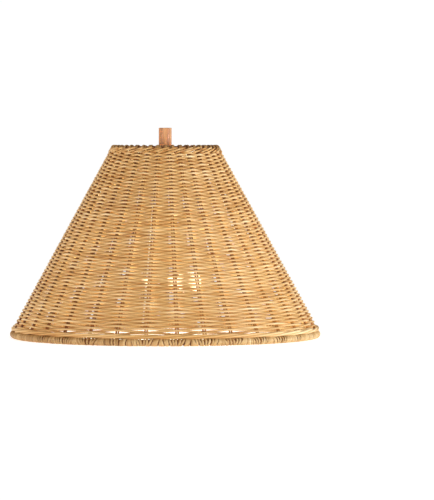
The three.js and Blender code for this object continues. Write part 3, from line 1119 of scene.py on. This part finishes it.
values = {"bands": bands.outputs["Fac"], "pores": pores.outputs["Fac"], "marks": marks.outputs["Result"]}
work_out(
    tree,
    values,
    [("grain", "MULTIPLY_ADD", "pores", 0.35, "bands"), ("grain", "MULTIPLY_ADD", "marks", 0.1, "grain")],
)
wood = add(tree, "ShaderNodeValToRGB", {"Fac": values["grain"]})
set_ramp(wood, [(0.45, "#7E431E"), (0.62, "#A86A3A"), (0.8, "#C68A57"), (0.98, "#DBA778")])
oil = add(tree, "ShaderNodeMapRange", {"Value": pores.outputs["Fac"], "To Min": 0.38, "To Max": 0.6})
feel = add(tree, "ShaderNodeBump", {"Height": values["grain"], "Strength": 0.35, "Distance": 0.00008})
tree.links.new(wood.outputs["Color"], shader.inputs["Base Color"])
tree.links.new(oil.outputs["Result"], shader.inputs["Roughness"])
tree.links.new(feel.outputs["Normal"], shader.inputs["Normal"])

# %% Hub, washer, insert and finial
HUB_HOLE = 0.0056
INSERT_BORE = 0.003175
SOCKET_GAP = 0.0003  # between the insert and the wood round it
insert_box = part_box("finial_insert")
finial_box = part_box("finial_body")
insert_radius = (insert_box[1][0] - insert_box[0][0]) / 2
finial_radius = (finial_box[1][0] - finial_box[0][0]) / 2
socket_radius = insert_radius + SOCKET_GAP
socket_top = insert_box[1][2] + SOCKET_GAP
finial_outline = [
    (socket_radius, finial_box[0][2]),
    (finial_radius, finial_box[0][2]),
    (finial_radius, finial_box[1][2]),
    (0.0, finial_box[1][2]),
    (0.0, socket_top),
    (socket_radius, socket_top),
]
hub_outline = tube_outline(hub_box, HUB_HOLE)
washer_outline = tube_outline(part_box("finial_washer"), socket_radius)
insert_outline = tube_outline(insert_box, INSERT_BORE)
# piece: the node it stands for, its outline, the round of its corners, material, slot and body
TURNED = {
    "fitter_washer": ("fitter_hub", hub_outline, 0.0005, lacquer, "frame_wire", "shade"),
    "loose_washer": ("finial_washer", washer_outline, 0.0003, brass, "brass", "washer"),
    "threaded_insert": ("finial_insert", insert_outline, 0.0003, brass, "brass", "finial"),
    "finial_wood": ("finial_body", finial_outline, 0.0009, beech, "beech", "finial"),
}
for name, (node, outline, rounding, material, finish, body) in TURNED.items():
    piece = turned(name, outline, material, rounding)
    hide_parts(node)
    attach(piece, body)

# %% [markdown]
# ## Light and floor
#
# The floor is a plain pale sheet, and the sky round it is a soft white that fades overhead, as in a studio
# with paper on every side. The floor gives off a little light of its own, which keeps it an even white and
# lights the shade from below. A soft lamp low on the right models the strands, a weaker one fills in from
# the left, and a broad dim sun comes from above in front.
#
# The shade is lit from within too. A glow lamp, which the camera doesn't see, brightens the inside of the
# wall, and three small lamps that it does see stand where the bulbs are and show as bright slits. Their
# power goes with the square of their size, so all three look equally bright.

# %% Floor and sky
FLOOR = 30.0  # half its width
HORIZON_LIGHT = 1.02
OVERHEAD_LIGHT = 0.3
corners = [(-FLOOR, -FLOOR, 0), (FLOOR, -FLOOR, 0), (FLOOR, FLOOR, 0), (-FLOOR, FLOOR, 0)]
floor_mesh = bpy.data.meshes.new("floor")
floor_mesh.from_pydata(corners, [], [(0, 1, 2, 3)])
floor = bpy.data.objects.new("floor", floor_mesh)
bpy.context.scene.collection.objects.link(floor)
# Matt white paper: no gloss and hardly any colour.
paper, _, shader = new_material("white_paper")
shader.inputs["Base Color"].default_value = linear("#F4F3F1")
shader.inputs["Roughness"].default_value = 0.9
shader.inputs["Emission Color"].default_value = linear("#FFFFFF")
shader.inputs["Emission Strength"].default_value = 0.68
floor_mesh.materials.append(paper)

world = bpy.data.worlds.new("studio")
bpy.context.scene.world = world
world.use_nodes = True
tree = world.node_tree
sky = tree.nodes["Background"]
sky.inputs["Color"].default_value = (1, 1, 1, 1)
outlook = add(tree, "ShaderNodeTexCoord")
upward = add(tree, "ShaderNodeSeparateXYZ", {0: outlook.outputs["Generated"]})
brightness = {"From Min": 0.06, "From Max": 0.2, "To Min": HORIZON_LIGHT, "To Max": OVERHEAD_LIGHT}
fade = add(tree, "ShaderNodeMapRange", {"Value": upward.outputs["Z"], **brightness})
tree.links.new(fade.outputs["Result"], sky.inputs["Strength"])
print("floor", 2 * FLOOR, "m across")

# %% Lamps
SHADE_FOOT = (0, 0, 0.03)
BULB_HEIGHT = 0.082
BULB_POWER = 110  # watts for each square metre of the lamp's radius squared
BULBS = {"bulb_left": (-0.03, 0.007), "bulb_middle": (0.0085, 0.007), "bulb_right": (0.035, 0.018)}


def lamp(name, kind, place, power, size, colour="#FFFFFF", target=SHADE_FOOT, seen=False):
    """A lamp that points at a target. The camera sees it only if it is told to."""
    data = bpy.data.lights.new(name, kind)
    data.energy = power
    data.color = linear(colour)[:3]
    if kind == "AREA":
        data.size = size
    else:
        data.shadow_soft_size = size
    made = bpy.data.objects.new(name, data)
    made.location = place
    made.rotation_euler = (Vector(target) - Vector(place)).to_track_quat("-Z", "Y").to_euler()
    made.visible_camera = seen
    bpy.context.scene.collection.objects.link(made)
    print(name, round(power, 4))
    return made


lamp("key_lamp", "AREA", (1.8, -0.95, 0.1), power=42, size=0.45, colour="#F3F9FF")
lamp("fill_lamp", "AREA", (-1.35, -0.9, 0.16), power=11.5, size=0.45)
lamp("bulb_glow", "POINT", (0, 0, 0.09), power=1.2, size=0.03, colour="#F2FFE6", target=(0, 0, 0))
for name, (x, size) in BULBS.items():
    place = (x, 0, BULB_HEIGHT)
    lamp(name, "POINT", place, BULB_POWER * size**2, size, "#FFE6BE", target=(0, 0, 0), seen=True)
sun = lamp("window_light", "SUN", (0.5, -1.0, 1.6), power=0.3, size=0.0, target=(0, 0, 0))
sun.data.angle = math.radians(30)
bpy.context.scene.view_settings.view_transform = "Standard"
